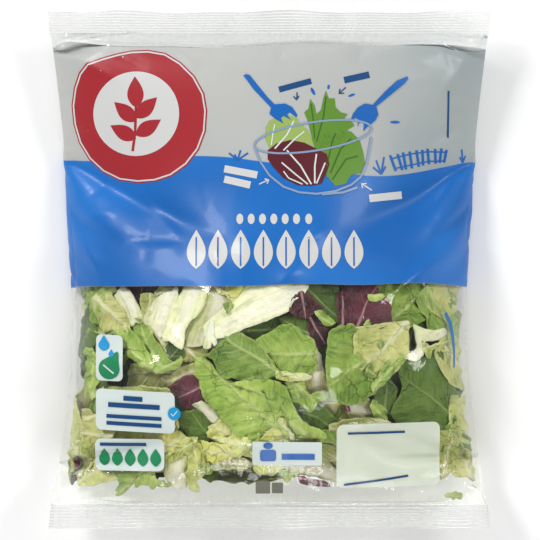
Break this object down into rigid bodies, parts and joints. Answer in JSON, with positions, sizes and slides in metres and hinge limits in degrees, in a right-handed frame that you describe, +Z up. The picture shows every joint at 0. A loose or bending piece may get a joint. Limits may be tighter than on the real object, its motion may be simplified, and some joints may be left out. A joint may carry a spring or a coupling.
{
  "type": "bag of salad leaves",
  "caption": "Sealed clear film pillow bag of mixed salad leaves, lying on its back with its printed front up.",
  "frame": {"origin": "middle of the underside of the bag's bounding box", "axes": "+X across the bag, +Y towards the top weld, +Z up, out of the printed front"},
  "size_m": [0.257, 0.3022, 0.0852],
  "materials": {
    "clear_film": "glossy clear film with printed blue, white and red fields",
    "leaf": "fresh moist salad leaf"
  },
  "bodies": {
    "root": {"bag": "clear_film"}
  },
  "joints": []
}
